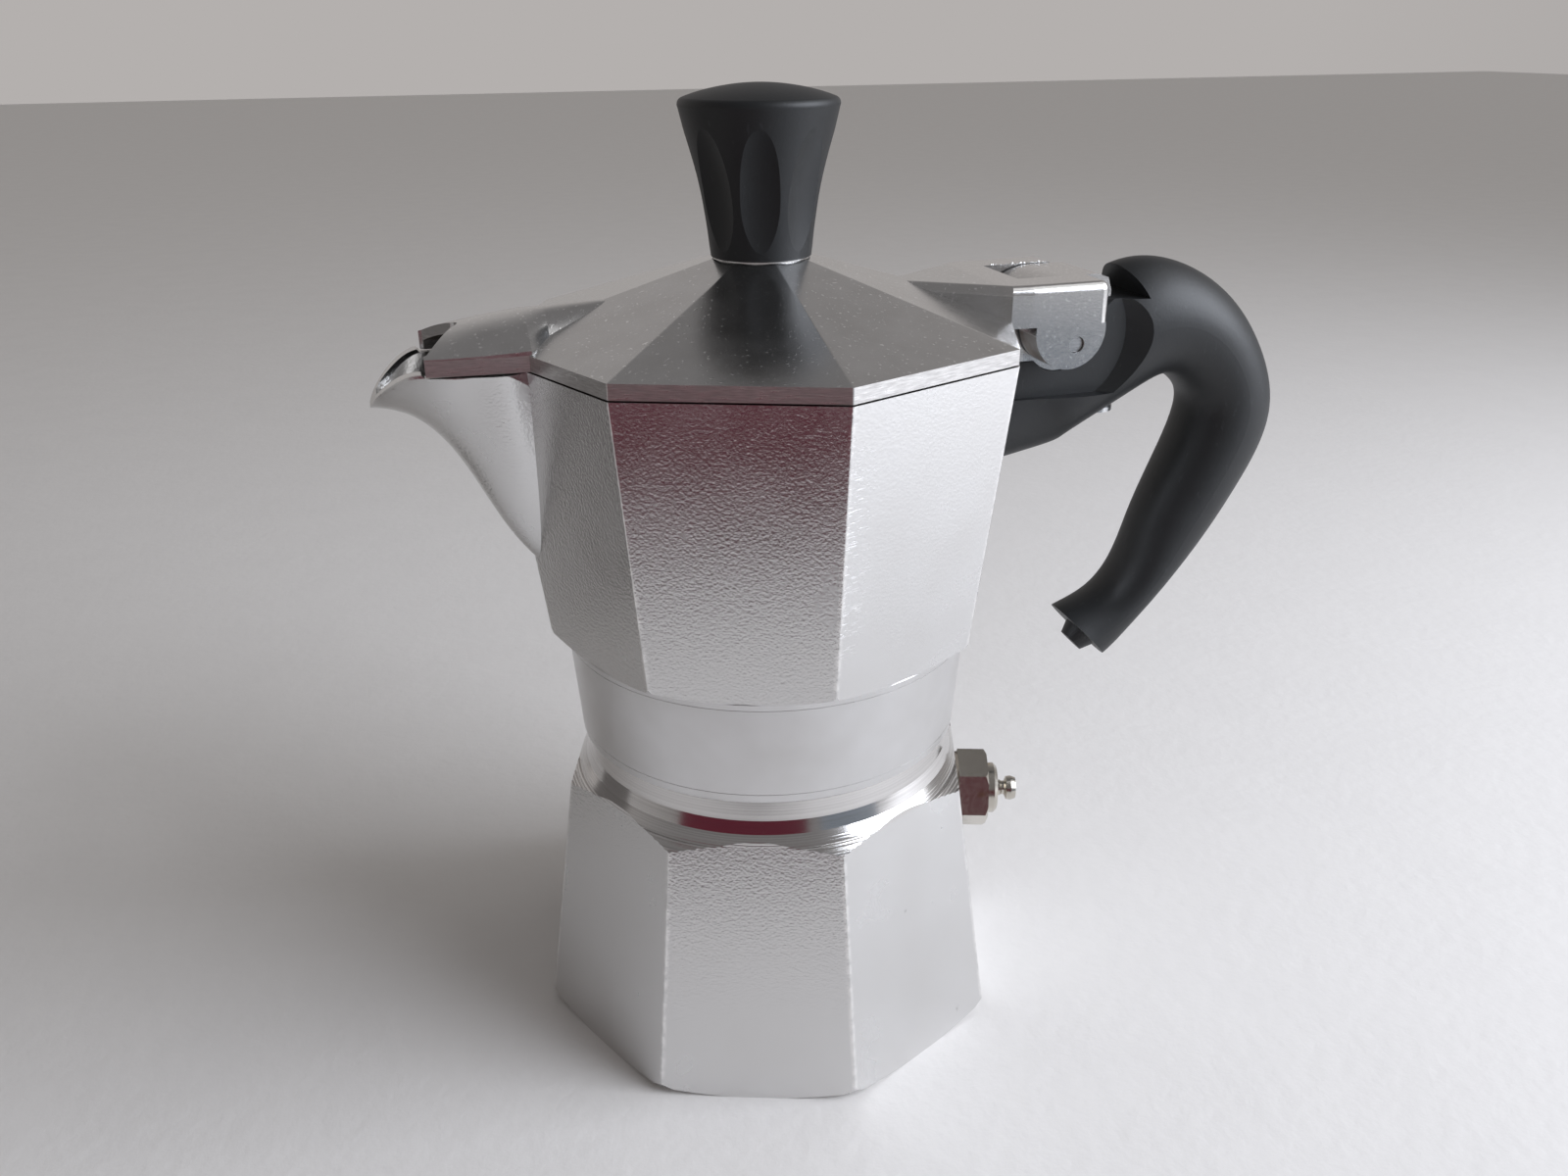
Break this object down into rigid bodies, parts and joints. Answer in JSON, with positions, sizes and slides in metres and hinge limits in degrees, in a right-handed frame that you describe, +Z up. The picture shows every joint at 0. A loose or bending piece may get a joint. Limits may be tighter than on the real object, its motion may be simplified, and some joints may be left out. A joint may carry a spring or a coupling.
{
  "type": "stove-top moka pot",
  "caption": "Octagonal cast stove-top coffee pot: screwed boiler, funnel, filter and seal, spouted upper chamber with riser, hinged lid with knob, hooked handle and safety valve.",
  "frame": {"origin": "centre of the boiler's resting face, on the pot's upright axis", "axes": "+Z up along the pot's axis, +X towards the handle, -X towards the spout"},
  "size_m": [0.1303, 0.0712, 0.1318],
  "materials": {
    "cast_aluminium": "satin, tumbled and partly polished",
    "spun_aluminium": "satin, pressed sheet",
    "black_plastic": "satin black, moulded",
    "nickel_brass": "nickel plated",
    "steel": "bright zinc plated",
    "spring_steel": "drawn wire",
    "seal_rubber": "matt, off-white silicone",
    "fibre": "matt grey-brown pressed fibre"
  },
  "bodies": {
    "boiler": {"boiler": "cast_aluminium", "valve_body": "nickel_brass", "valve_washer": "fibre", "valve_cap": "nickel_brass", "valve_spring": "spring_steel"},
    "valve": {"valve_stem": "nickel_brass", "valve_seal": "seal_rubber"},
    "funnel": {"funnel": "spun_aluminium", "funnel_screen": "spun_aluminium"},
    "seal": {"gasket": "seal_rubber"},
    "filter": {"filter_plate": "spun_aluminium"},
    "chamber": {"upper_chamber": "cast_aluminium", "coffee_column": "spun_aluminium", "handle": "black_plastic", "handle_screw": "steel", "hinge_pin": "steel"},
    "lid": {"lid": "cast_aluminium", "knob": "black_plastic", "knob_screw": "steel", "knob_washer": "steel"}
  },
  "joints": [
    {"name": "valve_lift", "type": "slide", "parent": "boiler", "child": "valve", "axis": [0.9412, -0.3379, 0], "range_m": [0, 0.0015], "stiffness_N_per_m": 2000, "springref_m": -0.001},
    {"name": "funnel_lift", "type": "slide", "parent": "boiler", "child": "funnel", "axis": [0, 0, 1], "range_m": [0, 0.055]},
    {"name": "lift_off", "type": "slide", "parent": "funnel", "child": "seal", "axis": [0, 0, 1], "range_m": [0, 0.06]},
    {"name": "thread_rise", "type": "slide", "parent": "seal", "child": "filter", "axis": [0, 0, 1], "range_m": [0, 0.0046]},
    {"name": "unscrew", "type": "hinge", "parent": "filter", "child": "chamber", "pos_m": [0, 0, 0.05], "axis": [0, 0, 1], "range_deg": [0, 540]},
    {"name": "lid_hinge", "type": "hinge", "parent": "chamber", "child": "lid", "pos_m": [0.0412, 0, 0.0983], "axis": [0, 1, 0], "range_deg": [0, 100]}
  ],
  "couplings": [
    {"joint": "thread_rise", "follows": "unscrew", "m_per_rad": 0.00047746}
  ]
}
